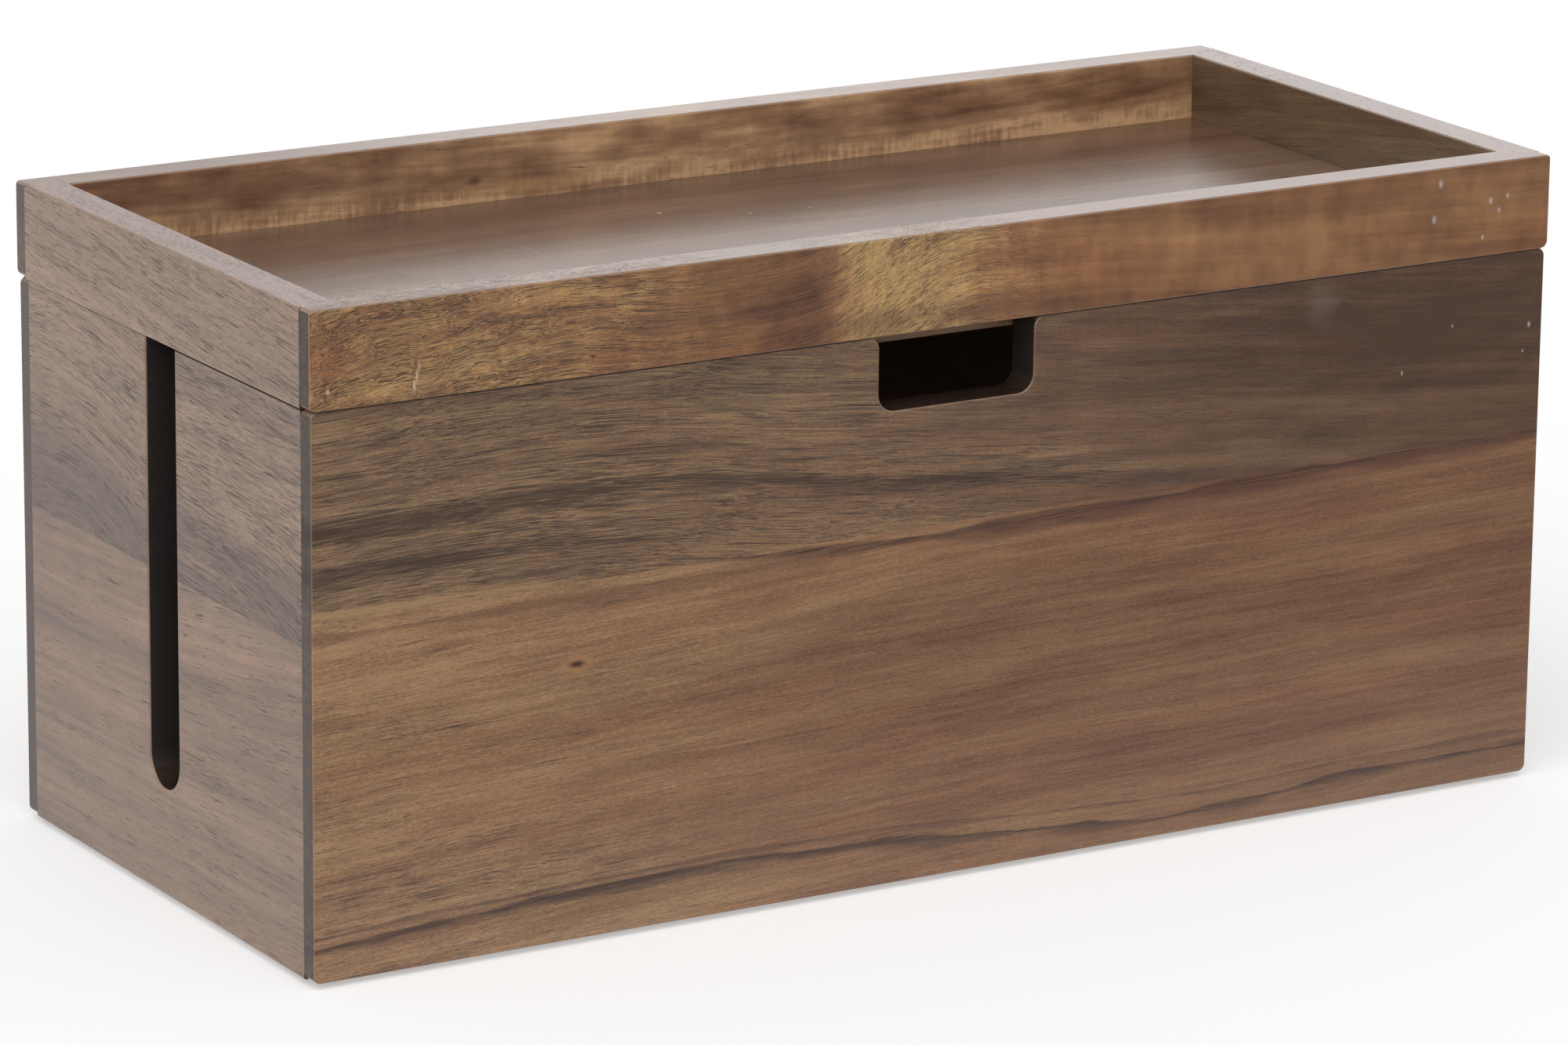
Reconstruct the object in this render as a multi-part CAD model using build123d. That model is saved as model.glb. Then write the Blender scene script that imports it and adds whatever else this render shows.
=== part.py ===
"""Cable management box: a rabbeted wooden box with cable slots, and a lift-off lid that is a tray.

Millimetres. The origin is on the table, under the middle of the box. +X runs along the box to the
right, +Y from its front to its back, and +Z is up.
"""

import os
from dataclasses import dataclass

from build123d import *

# Box
box_length = 350.0
box_depth = 155.0
box_height = 138.0
board = 10.0  # thickness of the front, back and end boards
board_lap = 5.0
front_joint = 87.8  # each wall is glued up from boards, with its joint this far above its foot
front_joint_rise = 3.2  # the front is cut a little askew, so its joint climbs this much to the right
back_joint = 74.0
end_joint = 81.0
bottom_board = 5.0
bottom_seat = 5.0  # how far the rabbet for the bottom board goes into the walls

# Lid
lid_height = 24.0
lid_overhang = 0.5  # how far the lid stands out past the box on each side
rail = 10.0  # thickness of the four rails
rail_lap = 5.0
floor_board = 7.0
floor_tongue = 4.0  # thickness of the floor's edge, where it lies in the rails' rabbets
floor_seat = 5.0  # how far the rabbet for the floor's tongue goes into the rails
batten_width = 10.0
batten_drop = 4.7  # how far a batten reaches down into the box

# Cable slots and finger notch
slot_width = 15.5
slot_foot = 27.0  # from the foot of the end board to the lowest point of the slot
notch_width = 44.0
notch_depth = 18.8
notch_bottom_round = 4.5
notch_top_round = 3.0

# Feet
pad_diameter = 14.0
pad_thickness = 1.5
pad_inset = 26.0  # from the outside of the box to the middle of a pad
pad_bevel = 0.4

# Sanded edges
arris = 0.5  # round the outer face of every board
inner_arris = 0.5  # round the openings and the rims inside
corner_round = 2.0  # corners of the box's long boards, and the lower corners of the lid's rails
lid_top_round = 1.0  # upper corners of the lid's long rails
batten_round = 1.0

# Fits
panel_play = 0.2  # round the bottom board and the floor board in their rabbets
batten_play = 0.5  # between the battens and the walls that they slide down between

lid_length = box_length + 2 * lid_overhang
lid_depth = box_depth + 2 * lid_overhang
box_foot = pad_thickness
lid_foot = box_foot + box_height
near = 1e-6  # two places closer than this are the same place


@dataclass
class Walls:
    """Four boards rabbeted together round a panel: their outside sizes, and their joints."""

    length: float
    depth: float
    foot: float
    thickness: float
    lap: float  # thickness left on a long board where it covers the edge of an end board
    seat: float  # how far the panel's rabbet goes into the boards
    seat_height: float


box_walls = Walls(box_length, box_depth, box_foot, board, board_lap, bottom_seat, bottom_board)
lid_walls = Walls(lid_length, lid_depth, lid_foot, rail, rail_lap, floor_seat, floor_tongue)


def block(corner, opposite):
    """A plain block between two opposite corners, given in any order."""
    low = [min(pair) for pair in zip(corner, opposite)]
    high = [max(pair) for pair in zip(corner, opposite)]
    size = [top - bottom for bottom, top in zip(low, high)]
    return Pos(*low) * Box(*size, align=(Align.MIN, Align.MIN, Align.MIN))


def corners(outline, x, y):
    """The corners of a symmetric outline at this height, this far from its middle."""
    return outline.vertices().filter_by(lambda v: abs(abs(v.X) - x) < near and abs(v.Y - y) < near)


def plain_outline(width, height):
    """A rectangle that stands on its own origin."""
    return Pos(0, height / 2) * Rectangle(width, height)


def long_outline(length, height, foot_round, top_round):
    """A long board seen from the front, with its corners sanded round."""
    outline = plain_outline(length, height)
    outline = fillet(corners(outline, length / 2, 0), foot_round)
    return fillet(corners(outline, length / 2, height), top_round)


def cut_notch(outline):
    """The finger notch in the middle of the front board's upper edge."""
    notch_foot = box_height - notch_depth
    outline -= Pos(0, notch_foot + notch_depth / 2) * Rectangle(notch_width, notch_depth)
    outline = fillet(corners(outline, notch_width / 2, notch_foot), notch_bottom_round)
    return fillet(corners(outline, notch_width / 2, box_height), notch_top_round)


def cut_slot(outline):
    """A cable slot: open at the upper edge, and round at its lower end."""
    round_centre = slot_foot + slot_width / 2
    straight = box_height - round_centre
    outline -= Pos(0, round_centre + straight / 2) * Rectangle(slot_width, straight)
    return outline - Pos(0, round_centre) * Circle(slot_width / 2)


def long_board(outline, walls):
    """A front board: a rabbet across each end takes the end boards, and one along the foot a panel."""
    front = -walls.depth / 2
    inside = front + walls.thickness
    top = walls.foot + outline.bounding_box().max.Y
    face = Plane(origin=(0, front, walls.foot), x_dir=(1, 0, 0), z_dir=(0, -1, 0))
    wood = extrude(face * outline, amount=-walls.thickness)
    wood = fillet(wood.faces().sort_by(Axis.Y)[0].edges(), arris)
    wood = fillet(wood.faces().sort_by(Axis.Y)[-1].edges(), inner_arris)
    for side in (-1, 1):
        shoulder = side * (walls.length / 2 - walls.thickness)
        wood -= block((shoulder, front + walls.lap, walls.foot), (side * walls.length / 2, inside, top))
    reach = walls.length / 2 - walls.thickness + walls.seat
    seat_top = walls.foot + walls.seat_height
    return wood - block((-reach, inside - walls.seat, walls.foot), (reach, inside, seat_top))


def end_board(outline, walls):
    """A left end board: it stands in the rabbets of the long boards, and has one along its foot."""
    end = -walls.length / 2
    inside = end + walls.thickness
    side = walls.depth / 2 - walls.lap
    joint = walls.depth / 2 - walls.thickness
    top = walls.foot + outline.bounding_box().max.Y
    face = Plane(origin=(end, 0, walls.foot), x_dir=(0, -1, 0), z_dir=(-1, 0, 0))
    wood = extrude(face * outline, amount=-walls.thickness)
    outer = wood.faces().sort_by(Axis.X)[0].edges()
    wood = fillet(outer.filter_by(lambda e: abs(e.center().Y) < side - near), arris)
    inner = wood.faces().sort_by(Axis.X)[-1].edges()
    wood = fillet(inner.filter_by(lambda e: abs(e.center().Y) < side - near), inner_arris)
    for way in (-1, 1):
        # The sanded inner edge stops at the joint, where the full board fills the rabbet.
        wood += block(((end + inside) / 2, way * joint, walls.foot), (inside, way * side, top))
    seat_top = walls.foot + walls.seat_height
    return wood - block((inside - walls.seat, -side, walls.foot), (inside, side, seat_top))


def let_in_panel(walls):
    """A panel let in from below, with its play all round in the rabbets of the four walls."""
    x = walls.length / 2 - walls.thickness + walls.seat - panel_play
    y = walls.depth / 2 - walls.thickness + walls.seat - panel_play
    return block((-x, -y, walls.foot), (x, y, walls.foot + walls.seat_height))


def floor_panel():
    """The tray's floor: its tongue lies in the rabbets, and its field fills the space between the rails."""
    x = lid_length / 2 - rail - panel_play
    y = lid_depth / 2 - rail - panel_play
    field = block((-x, -y, lid_foot), (x, y, lid_foot + floor_board))
    return let_in_panel(lid_walls) + field


def front_batten():
    """A strip under the tray floor, just inside the box's front board."""
    x = box_length / 2 - board - batten_play
    y = -(box_depth / 2 - board - batten_play)
    wood = block((-x, y, lid_foot - batten_drop), (x, y + batten_width, lid_foot))
    return fillet(wood.faces().sort_by(Axis.Z)[0].edges(), batten_round)


def four_pads():
    """Round pads stuck under the bottom board, one near each corner."""
    across = box_length - 2 * pad_inset
    back = box_depth - 2 * pad_inset
    circles = Sketch() + [place * Circle(pad_diameter / 2) for place in GridLocations(across, back, 2, 2)]
    pads = extrude(circles, amount=pad_thickness)
    return chamfer(pads.edges().group_by(Axis.Z)[0], pad_bevel)


def turned(wood):
    """The same piece on the opposite side of the box."""
    return Rot(0, 0, 180) * wood


def glued_up(wall, wood, joint, rise=0.0):
    """A wall's boards: the lower one, and the one or two that are glued on top of it."""
    left = (-box_length / 2, 0, box_foot + joint)
    joint_face = Plane(origin=left, x_dir=(box_length, 0, rise), z_dir=(-rise, 0, box_length))
    lower = split(wood, bisect_by=joint_face, keep=Keep.BOTTOM)
    upper = split(wood, bisect_by=joint_face, keep=Keep.TOP).solids().sort_by(Axis.Y)
    places = ["upper"] if len(upper) == 1 else ["upper_front", "upper_back"]
    boards = {f"{wall}_lower_board": lower}
    for place, board_above in zip(places, upper):
        boards[f"{wall}_{place}_board"] = board_above
    return boards


def box_pieces():
    plain = long_outline(box_length, box_height, corner_round, corner_round)
    slotted = cut_slot(plain_outline(box_depth - 2 * board_lap, box_height))
    left = end_board(slotted, box_walls)
    return {
        **glued_up("front", long_board(cut_notch(plain), box_walls), front_joint, front_joint_rise),
        **glued_up("back", turned(long_board(plain, box_walls)), back_joint),
        **glued_up("left_end", left, end_joint),
        **glued_up("right_end", turned(left), end_joint),
        "bottom_panel": let_in_panel(box_walls),
        "foot_pads": four_pads(),
    }


def lid_pieces():
    front = long_board(long_outline(lid_length, lid_height, corner_round, lid_top_round), lid_walls)
    left = end_board(plain_outline(lid_depth - 2 * rail_lap, lid_height), lid_walls)
    batten = front_batten()
    return {
        "lid_front_rail": front,
        "lid_back_rail": turned(front),
        "lid_left_rail": left,
        "lid_right_rail": turned(left),
        "tray_floor": floor_panel(),
        "lid_front_batten": batten,
        "lid_back_batten": turned(batten),
    }


os.makedirs("parts", exist_ok=True)
for name, piece in {**box_pieces(), **lid_pieces()}.items():
    export_step(piece, f"parts/{name}.step")
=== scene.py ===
"""Looks for the cable management box: a walnut-stained acacia box with a lift-off tray lid."""

from math import radians

import bpy
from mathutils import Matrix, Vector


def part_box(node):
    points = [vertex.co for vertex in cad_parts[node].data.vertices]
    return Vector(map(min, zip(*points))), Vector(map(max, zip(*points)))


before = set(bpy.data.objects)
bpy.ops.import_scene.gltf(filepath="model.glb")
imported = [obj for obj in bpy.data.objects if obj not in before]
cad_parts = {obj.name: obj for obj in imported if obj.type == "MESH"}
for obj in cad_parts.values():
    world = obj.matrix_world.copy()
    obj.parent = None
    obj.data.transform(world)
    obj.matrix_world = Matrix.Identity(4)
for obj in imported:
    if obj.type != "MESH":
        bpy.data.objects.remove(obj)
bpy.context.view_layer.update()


# Camera, daylight and table
# A long lens looks at the left front corner from a little above. The light is a white studio: an even
# sky, one wide soft lamp from the upper left, and a softbox behind. The table is a sheet of white paper.
def add(tree, kind, **values):
    """A shader node. A value goes to the socket of that name, or else to the setting of that name."""
    made = tree.nodes.new("ShaderNode" + kind)
    for name, value in values.items():
        socket = made.inputs.get(name.replace("_", " "))
        if socket is None:
            setattr(made, name, value)
        elif isinstance(value, bpy.types.NodeSocket):
            tree.links.new(value, socket)
        else:
            socket.default_value = value
    return made


camera = bpy.data.objects.new("camera", bpy.data.cameras.new("camera"))
camera.location = (-0.9227, -1.5271, 0.5591)
camera.rotation_euler = (radians(74.731), radians(-0.5874), radians(-30.94))
camera.data.lens = 168.84
bpy.context.collection.objects.link(camera)
bpy.context.scene.camera = camera
bpy.context.scene.view_settings.view_transform = "Standard"

lamp = bpy.data.objects.new("soft_lamp", bpy.data.lights.new("soft_lamp", "SUN"))
lamp.data.energy = 1.75
lamp.data.angle = radians(70)
lamp.rotation_euler = (radians(32), radians(-28), 0)
bpy.context.collection.objects.link(lamp)

softbox = bpy.data.objects.new("softbox", bpy.data.lights.new("softbox", "AREA"))
softbox.data.shape = "RECTANGLE"
softbox.data.size = 2.3
softbox.data.size_y = 1.8
softbox.data.energy = 7.6
softbox.location = (2.28, 2.24, 1.0)
softbox.rotation_euler = (radians(90), 0, radians(134.5))
softbox.visible_camera = False
bpy.context.collection.objects.link(softbox)

# The sky is dim as a lamp, and white to the camera and in the lacquer.
WHITE = (1, 1, 1, 1)
SKY_AS_LAMP = 0.55
SKY_AS_SEEN = 1.0
sky = bpy.data.worlds.new("studio")
sky.use_nodes = True
bpy.context.scene.world = sky
sky.node_tree.nodes.clear()
ray = add(sky.node_tree, "LightPath")
seen = add(sky.node_tree, "Math", operation="MAXIMUM")
sky.node_tree.links.new(ray.outputs["Is Camera Ray"], seen.inputs[0])
sky.node_tree.links.new(ray.outputs["Is Glossy Ray"], seen.inputs[1])
sky_level = add(sky.node_tree, "MapRange", Value=seen.outputs[0], To_Min=SKY_AS_LAMP, To_Max=SKY_AS_SEEN)
sky_shade = add(sky.node_tree, "Background", Color=WHITE, Strength=sky_level.outputs[0])
add(sky.node_tree, "OutputWorld", Surface=sky_shade.outputs[0])

bpy.ops.object.select_all(action="DESELECT")
bpy.ops.mesh.primitive_plane_add(size=12)
table = bpy.context.object
table.name = "table"
paper = bpy.data.materials.new("white_paper")
paper.use_nodes = True
sheet = paper.node_tree
sheet.nodes.clear()

# The paper is a light grey that glows a little towards the camera, so that it looks white there.
PAPER_GREY = 0.62
PAPER_GLOW = 0.4
paper_ray = add(sheet, "LightPath")
paper_lift = add(sheet, "MapRange", Value=paper_ray.outputs["Is Camera Ray"], To_Max=PAPER_GLOW)
paper_glow = add(sheet, "Emission", Color=WHITE, Strength=paper_lift.outputs[0])
paper_face = add(sheet, "BsdfDiffuse", Color=(PAPER_GREY, PAPER_GREY, PAPER_GREY, 1))
paper_lit = add(sheet, "AddShader")
sheet.links.new(paper_face.outputs[0], paper_lit.inputs[0])
sheet.links.new(paper_glow.outputs[0], paper_lit.inputs[1])

# The lacquer mirrors the bright table beside and behind the box, and the dim room in front of it.
ROOM_IN_LACQUER = 0.40
TABLE_IN_LACQUER = 1.25
paper_spot = add(sheet, "SeparateXYZ", Vector=add(sheet, "TexCoord").outputs["Object"])
mirrored = add(sheet, "MapRange", Value=paper_spot.outputs["Y"], From_Min=-0.24, From_Max=-0.03,
               To_Min=ROOM_IN_LACQUER, To_Max=TABLE_IN_LACQUER)
paper_mirror = add(sheet, "Emission", Color=WHITE, Strength=mirrored.outputs[0])
paper_mix = add(sheet, "MixShader", Fac=paper_ray.outputs["Is Glossy Ray"])
sheet.links.new(paper_lit.outputs[0], paper_mix.inputs[1])
sheet.links.new(paper_mirror.outputs[0], paper_mix.inputs[2])
add(sheet, "OutputMaterial", Surface=paper_mix.outputs[0])
table.data.materials.append(paper)


# Front upper board
# The front is glued up from two wide boards of stained acacia under a satin lacquer. This upper one is
# olive brown with long dark vessel lines, is rabbeted at its ends, and has the routed finger notch.
def stain(red, green, blue):
    """A colour given as it looks on the screen, from 0 to 255."""
    def linear(level):
        level = level / 255
        return level / 12.92 if level < 0.04045 else ((level + 0.055) / 1.055) ** 2.4
    return (linear(red), linear(green), linear(blue), 1)


def join(tree, sockets, values):
    """Each value goes to its socket, as a link from another node or as a number or colour."""
    for socket, value in zip(sockets, values):
        if isinstance(value, bpy.types.NodeSocket):
            tree.links.new(value, socket)
        else:
            socket.default_value = value


def maths(tree, operation, *values):
    """The result of one sum."""
    made = add(tree, "Math", operation=operation)
    join(tree, made.inputs, values)
    return made.outputs[0]


def vectors(tree, operation, *values):
    """The result of one sum on vectors."""
    made = add(tree, "VectorMath", operation=operation)
    join(tree, made.inputs, values)
    return made.outputs["Value" if operation == "LENGTH" else "Vector"]


def axes_of(tree, vector):
    """The X, Y and Z of a vector."""
    return add(tree, "SeparateXYZ", Vector=vector).outputs


def tint(tree, blend_type, amount, base, top):
    """One colour laid over another."""
    made = add(tree, "Mix", data_type="RGBA", blend_type=blend_type)
    join(tree, (made.inputs[0], made.inputs[6], made.inputs[7]), (amount, base, top))
    return made.outputs[2]


def wash_over(tree, colour, wash, mask, amount):
    """The colour with a wash of another over it, as far as the mask shows and by this amount."""
    return tint(tree, "MIX", maths(tree, "MULTIPLY", mask, amount), colour, wash)


def step(tree, value, low, high, start=0.0, end=1.0):
    """A smooth step from start to end as the value goes from low to high."""
    return add(tree, "MapRange", interpolation_type="SMOOTHSTEP", Value=value, From_Min=low, From_Max=high,
               To_Min=start, To_Max=end).outputs[0]


def follow(tree, value, points):
    """A smooth curve through given points, each a value and what comes out there."""
    made = add(tree, "FloatCurve", Value=value)
    curve = made.mapping
    curve.use_clip = False
    curve.curves[0].points[0].location = points[0]
    curve.curves[0].points[1].location = points[-1]
    for point in points[1:-1]:
        curve.curves[0].points.new(*point)
    curve.update()
    return made.outputs[0]


def noise(tree, point, size, detail=2.0):
    """Cloudy noise whose lumps have this size in mm, along each axis."""
    scaled = vectors(tree, "DIVIDE", point, size)
    return add(tree, "TexNoise", Vector=scaled, Scale=1.0, Detail=detail, Roughness=0.5).outputs["Fac"]


def swing(tree, point, size, detail=2.0):
    """The same noise, to both sides of nought."""
    return maths(tree, "SUBTRACT", noise(tree, point, size, detail), 0.5)


def effect(name, inputs, outputs):
    """An empty node group: inputs and outputs are the names and kinds of its sockets."""
    group = bpy.data.node_groups.new(name, "ShaderNodeTree")
    for sockets, way in ((inputs, "INPUT"), (outputs, "OUTPUT")):
        for socket, kind in sockets.items():
            group.interface.new_socket(socket, in_out=way, socket_type="NodeSocket" + kind)
    start = group.nodes.new("NodeGroupInput")
    end = group.nodes.new("NodeGroupOutput")
    return group, start.outputs, end.inputs


def place(tree, group, **values):
    """An effect, placed in a material with its own values."""
    made = add(tree, "Group")
    made.node_tree = group
    for name, value in values.items():
        join(tree, (made.inputs[name.replace("_", " ")],), (value,))
    return made.outputs


MM = 1000  # all patterns are in mm, and the frame is in metres

# Lay of the grain: a place in the board, in mm along, across and through it, becomes a place in the log.
# Wander bends the grain slowly, over some 95 mm, and curl quickly, over 13 mm.
lay, given, wanted = effect(
    "lay_of_the_grain",
    {"Place": "Vector", "Along": "Float", "Lift": "Float", "Wander": "Float", "Curl": "Float",
     "Log": "Vector"},
    {"Grain": "Vector", "Across": "Float"},
)
slow_bend = maths(lay, "MULTIPLY", swing(lay, given["Place"], (95, 30, 30)), given["Wander"])
quick_bend = maths(lay, "MULTIPLY", swing(lay, given["Place"], (13, 8, 8), 1), given["Curl"])
bend = maths(lay, "ADD", slow_bend, quick_bend)
axes = axes_of(lay, given["Place"])
level = maths(lay, "ADD", maths(lay, "SUBTRACT", axes["Y"], given["Lift"]), bend)
in_board = add(lay, "CombineXYZ", X=given["Along"], Y=level, Z=maths(lay, "ADD", axes["Z"], bend))
lay.links.new(vectors(lay, "ADD", in_board.outputs[0], given["Log"]), wanted["Grain"])
lay.links.new(level, wanted["Across"])

# Growth layers: broad bands of colour, long streaks in them, fine threads between, and flecks of fibre.
# Each has its length along the grain and its width across it, in mm.
layers, given, wanted = effect(
    "growth_layers", {"Grain": "Vector"},
    {"Bands": "Float", "Streaks": "Float", "Threads": "Float", "Flecks": "Float"},
)
for layer, length, width, detail in (
    ("Bands", 160, 9, 3),
    ("Streaks", 70, 1.9, 3),
    ("Threads", 16, 0.45, 2),
    ("Flecks", 1.2, 0.24, 2),
):
    layers.links.new(swing(layers, given["Grain"], (length, width, width), detail), wanted[layer])

# Vessel lines: the dark dashes of open pores. Share says how much of the wood they cover. Noise as long
# and thin as a pore is cut off at a limit, which is lower where the pores crowd together.
NO_PORES = 0.775
LESS_FOR_PORES = -0.30
PORE_BLUR = 0.07
vessels, given, wanted = effect(
    "vessel_lines",
    {"Grain": "Vector", "Share": "Float", "Length": "Float", "Width": "Float"},
    {"Lines": "Float"},
)
dash_size = add(vessels, "CombineXYZ", X=given["Length"], Y=given["Width"], Z=given["Width"]).outputs[0]
crowd = swing(vessels, given["Grain"], (40, 3.5, 3.5))
share = maths(vessels, "MULTIPLY_ADD", crowd, 0.9, given["Share"])
limit = maths(vessels, "MULTIPLY_ADD", share, LESS_FOR_PORES, NO_PORES)
vessel = noise(vessels, given["Grain"], dash_size, 1)
lines = step(vessels, vessel, limit, maths(vessels, "ADD", limit, PORE_BLUR))
vessels.links.new(lines, wanted["Lines"])

# Dark vein: one streak along a set line, sharp above and fading out below. It is thick and thin in turn.
vein, given, wanted = effect(
    "dark_vein",
    {"Place": "Vector", "Centre": "Float", "Half Width": "Float", "Ragged": "Float"},
    {"Vein": "Float"},
)
height = axes_of(vein, given["Place"])["Y"]
shake = swing(vein, given["Place"], (30, 2.6, 2.6), 3)
off = maths(vein, "SUBTRACT", height, maths(vein, "MULTIPLY_ADD", shake, given["Ragged"], given["Centre"]))
swell = step(vein, noise(vein, given["Place"], (36, 7, 7)), 0.32, 0.68, start=0.4, end=1.6)
off = maths(vein, "DIVIDE", off, maths(vein, "MULTIPLY", given["Half Width"], swell))
sharp_side = step(vein, off, 0.25, 0.65, start=1.0, end=0.0)
faded_side = step(vein, off, -1.6, 0.1)
vein.links.new(maths(vein, "MULTIPLY", sharp_side, faded_side), wanted["Vein"])

# Ripple: bands of light and shade across curly grain, each two and a half times as wide as it is long.
ripple, given, wanted = effect("ripple", {"Place": "Vector", "Length": "Float"}, {"Sheen": "Float"})
wide = maths(ripple, "MULTIPLY", given["Length"], 2.5)
rib_size = add(ripple, "CombineXYZ", X=given["Length"], Y=wide, Z=wide).outputs[0]
ripple.links.new(swing(ripple, given["Place"], rib_size, 3), wanted["Sheen"])

# Patch: a soft oval on the face of a board, with a ragged edge.
patch, given, wanted = effect(
    "patch", {"Place": "Vector", "Middle": "Vector", "Size": "Vector", "Ragged": "Float"}, {"Patch": "Float"}
)
from_middle = vectors(patch, "SUBTRACT", given["Place"], given["Middle"])
from_middle = vectors(patch, "LENGTH", vectors(patch, "DIVIDE", from_middle, given["Size"]))
shake = swing(patch, given["Place"], (14, 4, 4), 3)
far = maths(patch, "MULTIPLY_ADD", shake, given["Ragged"], from_middle)
patch.links.new(step(patch, far, 0.15, 1.0, start=1.0, end=0.0), wanted["Patch"])

# Ends and edges: where a board is sawn across the grain, and where its edges are sanded round.
ends, given, wanted = effect("ends_and_edges", {"Facing": "Vector"}, {"End": "Float", "Edge": "Float"})
facing = axes_of(ends, vectors(ends, "ABSOLUTE", given["Facing"]))
flattest = maths(ends, "MAXIMUM", facing["X"], maths(ends, "MAXIMUM", facing["Y"], facing["Z"]))
ends.links.new(step(ends, facing["X"], 0.75, 0.95), wanted["End"])
ends.links.new(step(ends, flattest, 0.96, 0.86), wanted["Edge"])

# Worn rim: the top of a rail, paler where hands and wiping have worn it.
rim, given, wanted = effect("worn_rim", {"Normal": "Vector", "Streaks": "Float"}, {"Worn": "Float"})
facing_up = step(rim, axes_of(rim, given["Normal"])["Z"], 0.75, 0.95)
worn = maths(rim, "MULTIPLY_ADD", given["Streaks"], 0.8, 0.65)
rim.links.new(maths(rim, "MULTIPLY", facing_up, worn), wanted["Worn"])

# Routed cut: the walls of a notch or slot in the middle of a board, from its foot up. The colour laid there
# is the darker stain of the cut with painted shade over it.
routed, given, wanted = effect(
    "routed_cut",
    {"Place": "Vector", "Facing": "Vector", "Half Width": "Float", "Foot": "Float"},
    {"Cut": "Float"},
)
axes = axes_of(routed, given["Place"])
just_past = maths(routed, "ADD", given["Half Width"], 0.5)
well_past = maths(routed, "ADD", given["Half Width"], 1.0)
beside = step(routed, maths(routed, "ABSOLUTE", axes["X"]), well_past, just_past)
above = step(routed, axes["Y"], given["Foot"], maths(routed, "ADD", given["Foot"], 0.5), start=0.0, end=0.9)
sideways = step(routed, axes_of(routed, vectors(routed, "ABSOLUTE", given["Facing"]))["Z"], 0.5, 0.15)
routed.links.new(maths(routed, "MULTIPLY", maths(routed, "MULTIPLY", sideways, beside), above), wanted["Cut"])

# Lid seam: painted shadow on the sanded round at the top of a box board, where it lies under the lid.
under_lid, given, wanted = effect(
    "lid_seam", {"Place": "Vector", "Normal": "Vector", "Height": "Float"}, {"Seam": "Float"}
)
outside = step(under_lid, axes_of(under_lid, given["Normal"])["Z"], 0.8, 0.5)
above = step(under_lid, axes_of(under_lid, given["Place"])["Y"], given["Height"],
             maths(under_lid, "ADD", given["Height"], 0.2))
under_lid.links.new(maths(under_lid, "MULTIPLY", above, outside), wanted["Seam"])


def bare_wood(tree, tone, tones, grain):
    """The colour of a tone, which is nought in the middle, a little redder in some places than in others."""
    ramp = add(tree, "ValToRGB", Fac=maths(tree, "ADD", tone, 0.5))
    ramp.color_ramp.elements[0].color = tones[0]
    ramp.color_ramp.elements[1].color = tones[-1]
    for number, between in enumerate(tones[1:-1], 1):
        ramp.color_ramp.elements.new(number / (len(tones) - 1)).color = between
    greener = (0.975, 1.02, 1.025, 1)
    redder = (1.025, 0.98, 0.97, 1)
    redness = step(tree, noise(tree, grain, (150, 16, 16), 3), 0.3, 0.7)
    cast = tint(tree, "MIX", redness, greener, redder)
    return tint(tree, "MULTIPLY", 1.0, ramp.outputs["Color"], cast)


def add_patches(tree, spot, colour, open_pores, patches):
    """Soft ovals of another colour, or with more or fewer pores."""
    for oval in patches:
        soft = place(tree, patch, Place=spot, Middle=oval["middle"], Size=oval["size"],
                     Ragged=oval["ragged"])["Patch"]
        colour = wash_over(tree, colour, oval["wash"], soft, oval["amount"])
        open_pores = maths(tree, "MULTIPLY_ADD", soft, oval["pores"], open_pores)
    return colour, open_pores


def add_veins(tree, spot, threads, colour, open_pores, veins):
    """Dark veins, each on its path. A split one is a bundle of thin lines, and a whole one a solid wash."""
    for line in veins:
        centre = follow(tree, axes_of(tree, spot)["X"], line["path"])
        dark = place(tree, vein, Place=spot, Centre=centre, Half_Width=line["half_width"],
                     Ragged=line["ragged"])["Vein"]
        bundle = 6.0 * line["split"] * line["amount"]
        solid = (1.0 - 0.4 * line["split"]) * line["amount"]
        split = add(tree, "Math", operation="MULTIPLY_ADD", use_clamp=True)
        join(tree, split.inputs, (threads, bundle, solid))
        colour = wash_over(tree, colour, line["wash"], dark, split.outputs[0])
        open_pores = maths(tree, "MULTIPLY_ADD", dark, line["pores"], open_pores)
    return colour, open_pores


TICK_TONE = stain(60, 44, 36)
DASH_TONE = stain(56, 38, 28)


def add_pores(tree, grain, colour, open_pores, dash, ticks):
    """Short fine ticks, and the long dark dashes over them."""
    length, width = dash
    more_ticks = maths(tree, "MULTIPLY_ADD", open_pores, 0.6, ticks - 0.3)
    fine = place(tree, vessels, Grain=grain, Share=more_ticks, Length=length * 0.3, Width=width * 0.8)
    colour = wash_over(tree, colour, TICK_TONE, fine["Lines"], 0.45)
    dashes = place(tree, vessels, Grain=grain, Share=open_pores, Length=length, Width=width)["Lines"]
    colour = wash_over(tree, colour, DASH_TONE, dashes, 0.82)
    return colour, dashes


WORN_AND_HIGHLIGHT_TONE = stain(160, 130, 106)  # where the stain is sanded or rubbed thin, with a painted highlight on the rounded edges
# The colour of the shadow painted into the seam under the lid.
SEAM_SHADOW_TONE = stain(40, 28, 22)
GRAIN_DEPTH = 0.00008  # in metres, from the threads that stand up to the open pores


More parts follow.
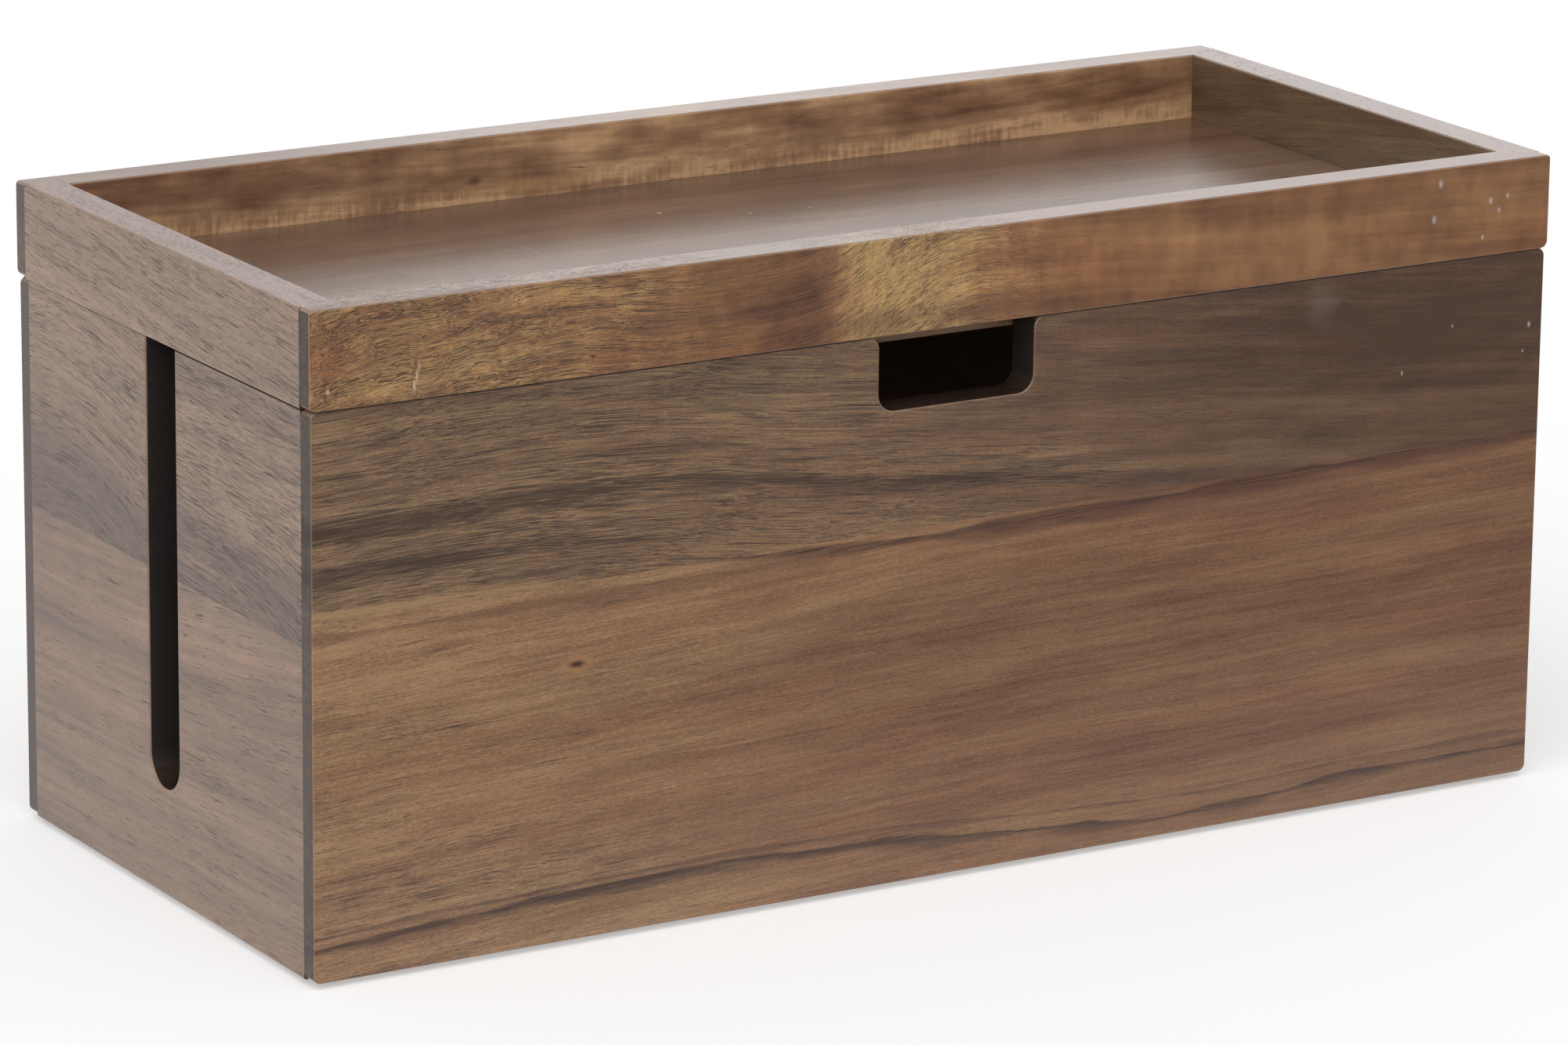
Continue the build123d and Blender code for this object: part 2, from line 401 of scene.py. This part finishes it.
def lacquered_acacia(
    name, turn, log, tones,
    along=((-180, -180), (180, 180)),  # from end to end of the board: how far the grain has run,
    lift=((-180, 0), (180, 0)),  # how high it has climbed,
    shade=((-180, 0), (180, 0)),  # how pale the wood is,
    pores=((-180, 0.3), (180, 0.3)),  # how many pores are open,
    curl=((-180, 0), (180, 0)),  # and how far the grain waves
    across=((0, 0), (160, 0)),  # how pale the layers are, by their height
    fan=None,  # between these heights the climb goes from one share of itself to another
    wander=5.0,  # how far the grain strays in mm
    contrast=(1.0, 0.7, 0.6, 0.5),  # strength of the bands, streaks, threads and flecks
    mottle=(12.0, 8.0, 0.15),  # length, height and strength of cloudy figure
    ribs=(7.0, 0.1),  # length and strength of ripples
    comb=None,  # fine upright ribs: full below this height, gone above that one, and how strong
    dash=(11.0, 0.27),  # length and width of a vessel line
    ticks=0.2,  # how many short lines lie between the long ones
    veins=(),  # each made by streak
    patches=(),  # each made by spread, open_wood or speck
    dullness=0.24,  # of the lacquer
    edge_wear_and_highlight=0.5,  # how far the sanded edges are paled: lacquer worn off, and a painted highlight
    end_tone=stain(70, 62, 58),  # colour of the end grain
    rim_tone=None,  # colour of a rail's worn upper rim
    seam=None,  # the height above which shadow under the lid is painted on the board
    cut=None,  # half the width of a notch or slot, a height just below it, and the colour of its walls: their stain with painted shade over it
):
    """The finish of one board. Turn lays the grain along the board, log is the place in the log that it
    is sawn from, and tones go from its darkest wood to its palest."""
    band_part, streak_part, thread_part, fleck_part = contrast
    cloud_length, cloud_height, cloud_part = mottle
    rib_length, rib_part = ribs
    finish = bpy.data.materials.new(name)
    finish.use_nodes = True
    tree = finish.node_tree
    tree.nodes.clear()
    where = add(tree, "TexCoord").outputs
    spot = add(tree, "Mapping", Vector=where["Object"], Scale=(MM, MM, MM), Rotation=turn).outputs[0]
    facing = add(tree, "Mapping", Vector=where["Normal"], Rotation=turn).outputs[0]
    axes = axes_of(tree, spot)
    climb = follow(tree, axes["X"], lift)
    if fan:
        climb = maths(tree, "MULTIPLY", climb, step(tree, axes["Y"], *fan))
    laid = place(tree, lay, Place=spot, Along=follow(tree, axes["X"], along), Lift=climb, Wander=wander,
                 Curl=follow(tree, axes["X"], curl), Log=log)
    grain = laid["Grain"]
    grown = place(tree, layers, Grain=grain)
    open_pores = follow(tree, axes["X"], pores)

    fibre = maths(tree, "MULTIPLY", grown["Threads"], thread_part)
    fibre = maths(tree, "MULTIPLY_ADD", grown["Flecks"], fleck_part, fibre)
    fibre = maths(tree, "MULTIPLY", fibre, maths(tree, "ADD", open_pores, 0.25))
    tone = maths(tree, "ADD", follow(tree, axes["X"], shade), follow(tree, laid["Across"], across))
    tone = maths(tree, "ADD", tone, fibre)
    tone = maths(tree, "MULTIPLY_ADD", grown["Bands"], band_part, tone)
    tone = maths(tree, "MULTIPLY_ADD", grown["Streaks"], streak_part, tone)
    cloud = swing(tree, spot, (cloud_length, cloud_height, cloud_height), 3)
    tone = maths(tree, "MULTIPLY_ADD", cloud, cloud_part * 2, tone)
    if comb:
        full_below, gone_above, comb_part = comb
        teeth = swing(tree, spot, (1.2, 7, 7))
        low_down = step(tree, axes["Y"], full_below, gone_above, start=comb_part, end=0.0)
        tone = maths(tree, "MULTIPLY_ADD", teeth, low_down, tone)

    colour = bare_wood(tree, tone, tones, grain)
    colour, open_pores = add_patches(tree, spot, colour, open_pores, patches)
    colour, open_pores = add_veins(tree, spot, grown["Threads"], colour, open_pores, veins)
    sheen = place(tree, ripple, Place=grain, Length=rib_length)["Sheen"]
    bright = maths(tree, "MULTIPLY_ADD", sheen, rib_part * 2, 1.0)
    bright = add(tree, "CombineXYZ", X=bright, Y=bright, Z=bright).outputs[0]
    colour = tint(tree, "MULTIPLY", 1.0, colour, bright)
    colour, dashes = add_pores(tree, grain, colour, open_pores, dash, ticks)

    # End grain is dark and dull, with the layers showing as thin lines. Sanded edges are paler: worn, and
    # with a painted highlight.
    sawn_or_sanded = place(tree, ends, Facing=facing)
    at_end = sawn_or_sanded["End"]
    ringed = maths(tree, "MULTIPLY_ADD", grown["Streaks"], 0.8, 0.9)
    ringed = maths(tree, "MULTIPLY_ADD", grown["Threads"], -0.5, ringed)
    colour = wash_over(tree, colour, end_tone, at_end, ringed)
    colour = wash_over(tree, colour, WORN_AND_HIGHLIGHT_TONE, sawn_or_sanded["Edge"], edge_wear_and_highlight)
    dull = maths(tree, "MULTIPLY_ADD", grown["Threads"], 0.08, dullness)
    dull = maths(tree, "MULTIPLY_ADD", dashes, 0.25, dull)
    dull = maths(tree, "MULTIPLY_ADD", at_end, 0.35, dull)
    if rim_tone:
        worn = place(tree, rim, Normal=where["Normal"], Streaks=grown["Streaks"])["Worn"]
        colour = tint(tree, "MIX", worn, colour, rim_tone)
    # The walls of a notch or slot take a darker stain, with painted shade laid over it.
    if cut:
        half_width, foot, cut_stain_and_shade = cut
        in_cut = place(tree, routed, Place=spot, Facing=facing, Half_Width=half_width, Foot=foot)["Cut"]
        colour = tint(tree, "MIX", in_cut, colour, cut_stain_and_shade)
    # Painted shadow in the seam, on the sides of the board's top edge under the lid; the lacquer there is
    # made dull too.
    if seam:
        in_seam = place(tree, under_lid, Place=spot, Normal=where["Normal"], Height=seam)["Seam"]
        colour = tint(tree, "MIX", in_seam, colour, SEAM_SHADOW_TONE)
        dull = maths(tree, "MAXIMUM", dull, in_seam)

    relief = maths(tree, "MULTIPLY_ADD", grown["Threads"], 0.35, maths(tree, "MULTIPLY", dashes, -1.0))
    relief = add(tree, "Bump", Height=relief, Strength=0.5, Distance=GRAIN_DEPTH)
    shader = add(tree, "BsdfPrincipled", Base_Color=colour, Roughness=dull, Normal=relief.outputs[0],
                 Specular_IOR_Level=0.5)
    add(tree, "OutputMaterial", Surface=shader.outputs[0])
    return finish


def spread(middle, size, ragged, amount, wash, pores=0.0, through=30):
    """A soft oval of another colour, which reaches this far through the board. Pores says how many more
    of them are open there."""
    return dict(middle=middle, size=(*size, through), ragged=ragged, amount=amount, wash=wash, pores=pores)


def open_wood(middle, size, ragged, pores):
    """A soft oval where more pores are open, in wood of the same colour."""
    return spread(middle, size, ragged, 0.0, stain(0, 0, 0), pores)


def speck(along, height, size):
    """A pale speck, a little taller than it is wide, on the faces of a board: filler, or dust."""
    return spread((along, height, 0), (size, size * 1.6), ragged=0.2, amount=0.65, wash=stain(190, 182, 178),
                  pores=-1.0, through=1000)


def streak(path, half_width, ragged, amount, split, wash, pores=0.0):
    """A dark vein along a path of heights."""
    return dict(path=path, half_width=half_width, ragged=ragged, amount=amount, split=split, wash=wash,
                pores=pores)


def dress(finish, node):
    """The finish goes on the whole of a piece."""
    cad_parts[node].data.materials.clear()
    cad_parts[node].data.materials.append(finish)


ALONG_X = (radians(-90), 0, 0)  # turns a pattern so that its grain runs along the front
FRONT = -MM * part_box("front_upper_board")[0].y  # from the middle of the box to its front face
BOX_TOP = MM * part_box("front_upper_board")[1].z
NOTCH = (22, 119.5, stain(33, 25, 21))  # half its width, a height just below it, and its walls' colour: stain with painted shade over it

dress(lacquered_acacia(
    "acacia_front_upper", turn=ALONG_X, log=(0, 0, 0),
    tones=(stain(77, 53, 39), stain(102, 74, 54), stain(123, 93, 69), stain(150, 119, 86)),
    lift=((-175, 0), (-90, 0), (-35, -6), (17, -12), (83, -19), (175, -28)),
    # The shade curve, pale at the left end and dark at the right, is partly the wood's own tone and partly
    # painted light falling off to the right.
    shade=((-175, 0.32), (-60, 0.28), (20, 0.08), (80, -0.18), (175, -0.30)),
    pores=((-175, 0.84), (-20, 0.80), (60, 0.50), (175, 0.14)),
    across=((88, 0.0), (108, 0.0), (112.2, -0.04), (113.6, 0.16), (116.0, 0.15), (118.5, 0.04),
            (129, 0.02), (137, -0.15), (150, -0.18), (168, -0.20)),
    contrast=(0.8, 0.5, 0.65, 0.8), mottle=(22, 5, 0.3), dash=(18.0, 0.15), ticks=0.5,
    veins=(
        streak(((-175, 111.5), (-85, 111.5), (-35, 105.5), (17, 99.5), (83, 92.5), (175, 86)),
               half_width=3.0, ragged=5.0, amount=0.10, split=1.0, wash=stain(66, 45, 34), pores=0.35),
    ),
    patches=(
        open_wood((-130, 102, FRONT), (110, 12), ragged=0.5, pores=0.12),
        spread((-150, 109.5, FRONT), (60, 3.5), ragged=1.2, amount=0.25, wash=stain(68, 47, 36), pores=0.4),
        spread((-155, 100.0, FRONT), (50, 3.0), ragged=1.2, amount=0.25, wash=stain(68, 47, 36), pores=0.4),
        spread((15, 101.5, FRONT), (70, 3.0), ragged=1.2, amount=0.3, wash=stain(66, 46, 36), pores=0.4),
        spread((-175, 90.6, FRONT), (85, 1.8), ragged=0.3, amount=0.75, wash=stain(166, 134, 96),
               pores=-0.5),
        spread((106.5, 133, FRONT), (7, 9), ragged=1.2, amount=0.14, wash=stain(150, 140, 134)),
        speck(131.9, 112.0, 0.5), speck(170.9, 120.1, 0.7), speck(147.0, 122.4, 0.4),
        speck(169.2, 113.4, 0.4),
    ),
    edge_wear_and_highlight=0.3, seam=BOX_TOP - 0.45, cut=NOTCH,
), "front_upper_board")


# Front lower board
# The same acacia, redder and finer, with one small knot. It is planed a little askew where the upper
# board is glued on, and rabbeted behind for the end boards and, along its foot, for the bottom panel.
dress(lacquered_acacia(
    "acacia_front_lower", turn=ALONG_X, log=(400, 60, 30),
    tones=(stain(90, 58, 42), stain(121, 84, 60), stain(143, 107, 77), stain(168, 132, 97)),
    lift=((-175, 0), (-85, 4), (0, 7), (90, 8), (175, 9)),
    # The shade curve, pale at the left end and dark at the right, is partly the wood's own tone and partly
    # painted light falling off to the right.
    shade=((-175, 0.26), (-100, 0.16), (-40, 0.0), (40, -0.10), (175, -0.14)),
    pores=((-175, 0.52), (-100, 0.42), (0, 0.30), (175, 0.18)),
    across=((0, 0.10), (8, 0.06), (16, -0.06), (24, 0.0), (40, -0.02), (70, 0.02), (82, 0.12), (92, 0.28)),
    contrast=(0.7, 0.6, 1.0, 1.5), mottle=(30, 9, 0.2), ribs=(7.0, 0.05), dash=(14.0, 0.15), ticks=0.5,
    veins=(
        streak(((-175, 85.2), (-87, 86.6), (-51, 86.8), (5, 88.0), (65, 89.2), (120, 90.6), (175, 91.6)),
               half_width=2.3, ragged=0.9, amount=0.45, split=0.3, wash=stain(94, 56, 41)),
        streak(((-175, 94.0), (-95, 92.5), (-40, 88.7), (5, 88.3), (65, 89.4), (120, 90.8), (175, 92.2)),
               half_width=2.2, ragged=1.0, amount=0.8, split=0.4, wash=stain(74, 47, 38), pores=0.2),
        streak(((-175, 9.8), (-125, 12.3), (-35, 13.2), (25, 8.8), (65, 6.3), (125, 9.1), (175, 9.5)),
               half_width=1.5, ragged=2.8, amount=0.95, split=0.4, wash=stain(70, 45, 36), pores=0.3),
        streak(((-175, 12.6), (-125, 14.8), (-35, 16.2), (25, 13.0), (65, 11.5), (125, 12.6), (175, 13.0)),
               half_width=0.8, ragged=3.0, amount=0.6, split=0.5, wash=stain(80, 54, 42), pores=0.2),
    ),
    patches=(
        # the knot, in a ring of paler wood
        spread((-104.8, 69.9, FRONT), (6.5, 3.6), ragged=0.2, amount=0.45, wash=stain(176, 126, 86),
               pores=-0.5),
        spread((-104.8, 69.8, FRONT), (3.4, 1.3), ragged=0.15, amount=0.95, wash=stain(62, 34, 23)),
        spread((80, 90, FRONT), (110, 9), ragged=0.6, amount=0.45, wash=stain(96, 63, 49)),
        open_wood((-130, 22, FRONT), (80, 16), ragged=0.6, pores=0.2),
    ),
    edge_wear_and_highlight=0.3,
), "front_lower_board")


# Back boards
# The back is made as the front is, from two boards of plainer acacia, with no notch. Their ends show
# beside the end boards, greyer than the face.
BACK_WOOD = dict(
    turn=ALONG_X,
    tones=(stain(84, 58, 42), stain(112, 81, 59), stain(131, 98, 72), stain(156, 123, 92)),
    contrast=(1.1, 0.6, 0.7, 0.9), mottle=(20, 7, 0.3), ticks=0.4, end_tone=stain(88, 80, 78), edge_wear_and_highlight=0.3,
)
dress(lacquered_acacia(
    "acacia_back_upper", log=(900, 200, 90),
    lift=((-175, -9), (-60, 0), (60, 6), (175, 3)), shade=((-175, 0.0), (0, 0.12), (175, -0.08)),
    pores=((-175, 0.30), (0, 0.45), (175, 0.60)), dash=(13.0, 0.25),
    veins=(
        streak(((-175, 96), (-80, 101), (0, 108), (90, 110), (175, 106)),
               half_width=2.0, ragged=3.2, amount=0.45, split=0.8, wash=stain(64, 45, 37), pores=0.3),
    ),
    **BACK_WOOD,
), "back_upper_board")
dress(lacquered_acacia(
    "acacia_back_lower", log=(1100, 620, 40),
    lift=((-175, 5), (0, 0), (175, 8)), shade=((-175, -0.05), (0, 0.02), (175, 0.15)),
    pores=((-175, 0.15), (0, 0.30), (175, 0.40)), dash=(10.0, 0.22),
    veins=(
        streak(((-175, 22), (-60, 19), (60, 24), (175, 21)),
               half_width=1.4, ragged=2.4, amount=0.6, split=0.5, wash=stain(78, 52, 42), pores=0.2),
    ),
    **BACK_WOOD,
), "back_lower_board")


# Left end boards
# A lower board, and two upper ones that the cable slot parts. They stand in the rabbets of the front and
# back boards. The wood is pale and pinkish, with many short vessel lines; the slot's walls have painted
# shade.
ALONG_Y = (radians(-90), radians(-90), 0)  # turns a pattern so that its grain runs along the ends
SLOT = (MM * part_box("left_end_upper_back_board")[0].y, 27, stain(28, 22, 20))  # as for the notch
END_WOOD = dict(
    turn=ALONG_Y,
    tones=(stain(80, 52, 38), stain(108, 77, 58), stain(133, 101, 77), stain(156, 123, 96)),
    contrast=(1.0, 0.8, 0.7, 0.7), dash=(8.0, 0.22), ticks=0.7, wander=4.0,
)
dress(lacquered_acacia(
    "acacia_left_upper_front", log=(1300, 300, 10),
    lift=((-78, -9), (-50, -3.5), (-8, 0), (78, 2)), fan=(130, 84, 0.15, 1.0),
    across=((60, -0.25), (88, -0.25), (96, -0.15), (101, 0.12), (140, 0.14)),
    pores=((-78, 0.75), (78, 0.75)), seam=BOX_TOP - 0.6, cut=SLOT,
    **END_WOOD,
), "left_end_upper_front_board")
dress(lacquered_acacia(
    "acacia_left_upper_back", log=(1500, 330, 10),
    lift=((-78, -16), (8, -12), (40, -2), (78, 0)), fan=(60, 140, 1.0, 0.5),
    across=((60, -0.23), (90, -0.26), (108, -0.05), (113, 0.16), (150, 0.14)),
    pores=((-78, 0.7), (78, 0.6)), cut=SLOT,
    **END_WOOD,
), "left_end_upper_back_board")
dress(lacquered_acacia(
    "acacia_left_lower", turn=ALONG_Y, log=(1400, 360, 10),
    tones=(stain(84, 57, 42), stain(112, 82, 60), stain(137, 104, 79), stain(156, 122, 96)),
    lift=((-78, 11), (-8, 3), (30, 0), (78, -3)), fan=(20, 84, 0.1, 1.0),
    shade=((-78, 0.02), (0, 0.0), (78, -0.12)),
    across=((0, 0.10), (20, 0.06), (60, 0.04), (84, 0.02)),
    pores=((-78, 0.5), (78, 0.35)), contrast=(1.2, 0.9, 0.7, 0.7), dash=(8.0, 0.23), ticks=0.5, wander=4.0,
    cut=SLOT,
), "left_end_lower_board")


# Right end boards
# The same three boards as on the left, turned round, from other planks of the same wood.
dress(lacquered_acacia(
    "acacia_right_upper_front", log=(1700, 420, 10),
    lift=((-78, 6), (78, -6)), shade=((-78, -0.06), (78, 0.0)), pores=((-78, 0.55), (78, 0.6)), cut=SLOT,
    **END_WOOD,
), "right_end_upper_front_board")
dress(lacquered_acacia(
    "acacia_right_upper_back", log=(1760, 480, 10),
    lift=((-78, 0), (78, 9)), shade=((-78, 0.10), (78, 0.04)), pores=((-78, 0.6), (78, 0.45)), cut=SLOT,
    **END_WOOD,
), "right_end_upper_back_board")
dress(lacquered_acacia(
    "acacia_right_lower", log=(1840, 540, 10),
    lift=((-78, -5), (0, 2), (78, -3)), across=((0, 0.12), (30, 0.0), (84, -0.10)),
    pores=((-78, 0.3), (78, 0.45)), cut=SLOT,
    **END_WOOD,
), "right_end_lower_board")


# Bottom panel
# A thin wide board of the same wood, let in from below into the rabbets of the four walls. Its faces
# have one thin coat of lacquer, so they are duller than the walls.
dress(lacquered_acacia(
    "acacia_bottom", turn=ALONG_X, log=(2500, 700, 120),
    tones=(stain(88, 62, 46), stain(117, 86, 64), stain(138, 106, 80), stain(162, 130, 100)),
    lift=((-175, 4), (0, 0), (175, 6)), shade=((-175, 0.0), (175, 0.08)),
    pores=((-175, 0.35), (175, 0.5)), contrast=(1.2, 0.7, 0.8, 0.9), mottle=(24, 9, 0.3),
    dash=(12.0, 0.26), ticks=0.4, dullness=0.40,
), "bottom_panel")


# Foot pads
# Four round pads of black rubber, punched from sheet and stuck under the bottom panel. They pick up dust.
rubber = bpy.data.materials.new("pad_rubber")
rubber.use_nodes = True
tree = rubber.node_tree
tree.nodes.clear()
where = vectors(tree, "MULTIPLY", add(tree, "TexCoord").outputs["Object"], (MM, MM, MM))
speckle = noise(tree, where, (0.25, 0.25, 0.25), 3)
dusty = step(tree, noise(tree, where, (5, 5, 5), 3), 0.45, 0.75)
colour = tint(tree, "MIX", speckle, stain(24, 24, 25), stain(40, 40, 41))
colour = wash_over(tree, colour, stain(96, 92, 86), dusty, 0.35)
dull = maths(tree, "MULTIPLY_ADD", dusty, 0.2, 0.62)
relief = add(tree, "Bump", Height=speckle, Strength=0.6, Distance=0.00005)
shader = add(tree, "BsdfPrincipled", Base_Color=colour, Roughness=dull, Normal=relief.outputs[0],
             Specular_IOR_Level=0.35)
add(tree, "OutputMaterial", Surface=shader.outputs[0])
dress(rubber, "foot_pads")


# Lid side rails
# Two short rails of acacia that stand in the rabbets of the lid's long rails. Their upper rims are worn
# by hands and wiping, paler and greyer than the faces.
SIDE_RIM = stain(125, 99, 91)
dress(lacquered_acacia(
    "acacia_lid_left", log=(1900, 460, 10),
    lift=((-78, -7), (78, 7)), shade=((-78, 0.42), (78, 0.42)), pores=((-78, 0.7), (78, 0.65)),
    rim_tone=SIDE_RIM,
    **END_WOOD,
), "lid_left_rail")
dress(lacquered_acacia(
    "acacia_lid_right", turn=ALONG_Y, log=(3100, 460, 10),
    tones=(stain(74, 57, 43), stain(98, 76, 58), stain(120, 96, 73), stain(144, 119, 92)),
    lift=((-78, 12), (78, -12)), shade=((-78, 0.05), (78, -0.05)), pores=((-78, 0.35), (78, 0.4)),
    contrast=(1.1, 0.7, 0.6, 0.6), mottle=(18, 6, 0.25), dash=(9.0, 0.30), rim_tone=SIDE_RIM,
), "lid_right_rail")


# Lid front rail
# A long rail with curly grain: warm and wavy at the left, a golden figured zone near the middle, and
# plain at the right. It has a scratch, painted shade for a dent in its rim, and specks of pale filler.
LID_FRONT = -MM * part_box("lid_front_rail")[0].y  # from the middle of the box to the lid's front face
LID_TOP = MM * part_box("lid_front_rail")[1].z


def scratch(along, height, length, amount):
    """A short pale stroke, half a millimetre wide, on the front of the lid."""
    return spread((along, height, LID_FRONT), (0.5, length), ragged=0.4, amount=amount,
                  wash=stain(200, 186, 168), pores=-1.0)


dress(lacquered_acacia(
    "acacia_lid_front", turn=ALONG_X, log=(2300, 500, 10),
    tones=(stain(80, 50, 34), stain(119, 80, 53), stain(150, 106, 70), stain(192, 154, 100)),
    along=((-176, -176), (-140, -80), (-60, 40), (-36, 70), (-16, 170), (0, 230), (20, 262), (176, 440)),
    lift=((-176, 0), (-160, 3.5), (-140, 5), (-110, 7), (-60, 5), (-36, 8), (-16, 19), (0, 25), (20, 25),
          (80, 21), (176, 17)),
    shade=((-176, 0.32), (-140, 0.33), (-80, 0.09), (-55, -0.17), (-38, -0.10), (-30, 0.42), (-4, 0.36),
           (12, 0.12), (60, 0.0), (176, 0.0)),
    pores=((-176, 0.92), (-130, 0.88), (-80, 0.68), (-55, 0.42), (-38, 0.55), (-10, 0.80), (12, 0.56),
           (40, 0.05), (176, 0.04)),
    curl=((-176, 4.5), (-140, 3.5), (-100, 2.0), (-50, 0.5), (0, 1.5), (176, 0.5)),
    contrast=(0.8, 0.4, 0.75, 0.5), mottle=(9, 9, 0.3), ribs=(4.0, 0.22), dash=(15.0, 0.16), ticks=0.6,
    patches=(
        spread((-150, 152, LID_FRONT), (70, 30), ragged=0.4, amount=0.35, wash=stain(150, 106, 70)),
        spread((-172, 150, LID_FRONT), (14, 8), ragged=0.6, amount=0.35, wash=stain(164, 96, 58)),
        spread((-24, 143, LID_FRONT), (24, 6), ragged=0.6, amount=0.6, wash=stain(116, 82, 54)),
        spread((110, 158, LID_FRONT), (60, 4), ragged=0.8, amount=0.3, wash=stain(104, 70, 50)),
        spread((4, 143, LID_FRONT), (26, 5.5), ragged=0.7, amount=0.65, wash=stain(122, 87, 60)),
        spread((62, 154, LID_FRONT), (9, 10), ragged=1.0, amount=0.25, wash=stain(168, 126, 84)),
        spread((104, 151, LID_FRONT), (5, 15), ragged=1.0, amount=0.35, wash=stain(176, 132, 86)),
        spread((150, 141.5, LID_FRONT), (40, 3), ragged=0.9, amount=0.35, wash=stain(104, 68, 48)),
        # one slanting scratch, in three strokes that fade upwards
        scratch(-148.3, 143.0, length=1.9, amount=0.7),
        scratch(-147.6, 145.2, length=2.2, amount=0.6),
        scratch(-147.0, 147.4, length=1.9, amount=0.35),
        # painted shade for a dent, at the inner edge of the rim
        spread((-1.8, LID_TOP, LID_FRONT - 9.5), (1.4, 4), ragged=0.2, amount=0.9, wash=stain(48, 38, 34),
               through=1.4),
        speck(-170.7, 144.1, 0.6), speck(141.6, 159.6, 1.0), speck(139.9, 150.6, 1.0),
        speck(157.2, 153.6, 0.8), speck(159.8, 151.0, 0.7), speck(162.4, 154.4, 0.6),
        speck(155.0, 144.5, 0.6),
    ),
    rim_tone=stain(114, 89, 80),
), "lid_front_rail")


# Lid back rail
# The same rail at the back, with cloudy golden figure, combed and brightest low down, and a small knot.
INSIDE = -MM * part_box("lid_back_rail")[0].y  # from the middle of the box to the rail's inner face
dress(lacquered_acacia(
    "acacia_lid_back", turn=ALONG_X, log=(2700, 560, 10),
    tones=(stain(86, 57, 43), stain(126, 90, 66), stain(154, 117, 87), stain(196, 156, 116)),
    lift=((-176, 4), (-60, 0), (60, -3), (176, 2)),
    shade=((-176, 0.03), (-90, 0.03), (0, 0.16), (66, 0.16), (110, 0.08), (176, 0.06)),
    across=((139, 0.25), (147, 0.25), (150, 0.12), (154, -0.04), (164, 0.0)),
    contrast=(1.0, 0.6, 0.12, 0.3), mottle=(20, 6, 0.8), ribs=(3.0, 0.20), comb=(148, 153, 0.8),
    pores=((-176, 0.25), (176, 0.2)), dash=(5.0, 0.27),
    patches=(
        spread((-120, 156, INSIDE), (60, 6), ragged=0.8, amount=0.55, wash=stain(88, 58, 41)),
        spread((-40, 149.5, INSIDE), (26, 3), ragged=0.8, amount=0.5, wash=stain(176, 136, 92)),
        spread((-53, 152.3, INSIDE), (3.6, 1.8), ragged=1.0, amount=0.75, wash=stain(70, 44, 30)),
    ),
    end_tone=stain(84, 77, 76), rim_tone=stain(118, 93, 84),
), "lid_back_rail")


# Tray floor
# A wide board whose tongue lies in the rabbets of the four rails. It has the glossiest lacquer, with a
# few flecks of dust under it and one faint scratch across the grain.
dress(lacquered_acacia(
    "acacia_tray_floor", turn=(0, 0, 0), log=(2100, 500, 10),
    tones=(stain(76, 54, 42), stain(95, 71, 56), stain(109, 83, 66), stain(128, 101, 82)),
    lift=((-176, 0), (0, 6), (176, -4)), shade=((-176, 0.1), (0, 0.06), (176, 0.1)),
    across=((-68, 0.0), (10, 0.10), (30, 0.10), (50, -0.16), (68, -0.24)),
    contrast=(1.0, 0.6, 0.4, 0.5), mottle=(30, 14, 0.3), pores=((-176, 0.1), (176, 0.1)), dullness=0.23,
    patches=(
        speck(-17.5, 36.0, 0.9), speck(2.5, 25.0, 0.6), speck(19.5, 23.6, 0.6),
        spread((-65.5, 13, 146), (0.6, 14), ragged=0.4, amount=0.12, wash=stain(190, 180, 176)),
    ),
), "tray_floor")


# Lid battens
# Two strips glued under the tray floor, which keep the lid in its place on the box. They are sawn from
# offcuts of the same wood and only thinly lacquered.
BATTEN_WOOD = dict(
    turn=ALONG_X,
    tones=(stain(94, 66, 46), stain(126, 93, 66), stain(148, 113, 82), stain(170, 136, 102)),
    pores=((-180, 0.4), (180, 0.5)), contrast=(1.0, 0.6, 0.8, 0.9), dash=(12.0, 0.26), ticks=0.4,
    dullness=0.38,
)
dress(lacquered_acacia("acacia_front_batten", log=(3300, 760, 60), **BATTEN_WOOD), "lid_front_batten")
dress(lacquered_acacia("acacia_back_batten", log=(3700, 820, 60), **BATTEN_WOOD), "lid_back_batten")
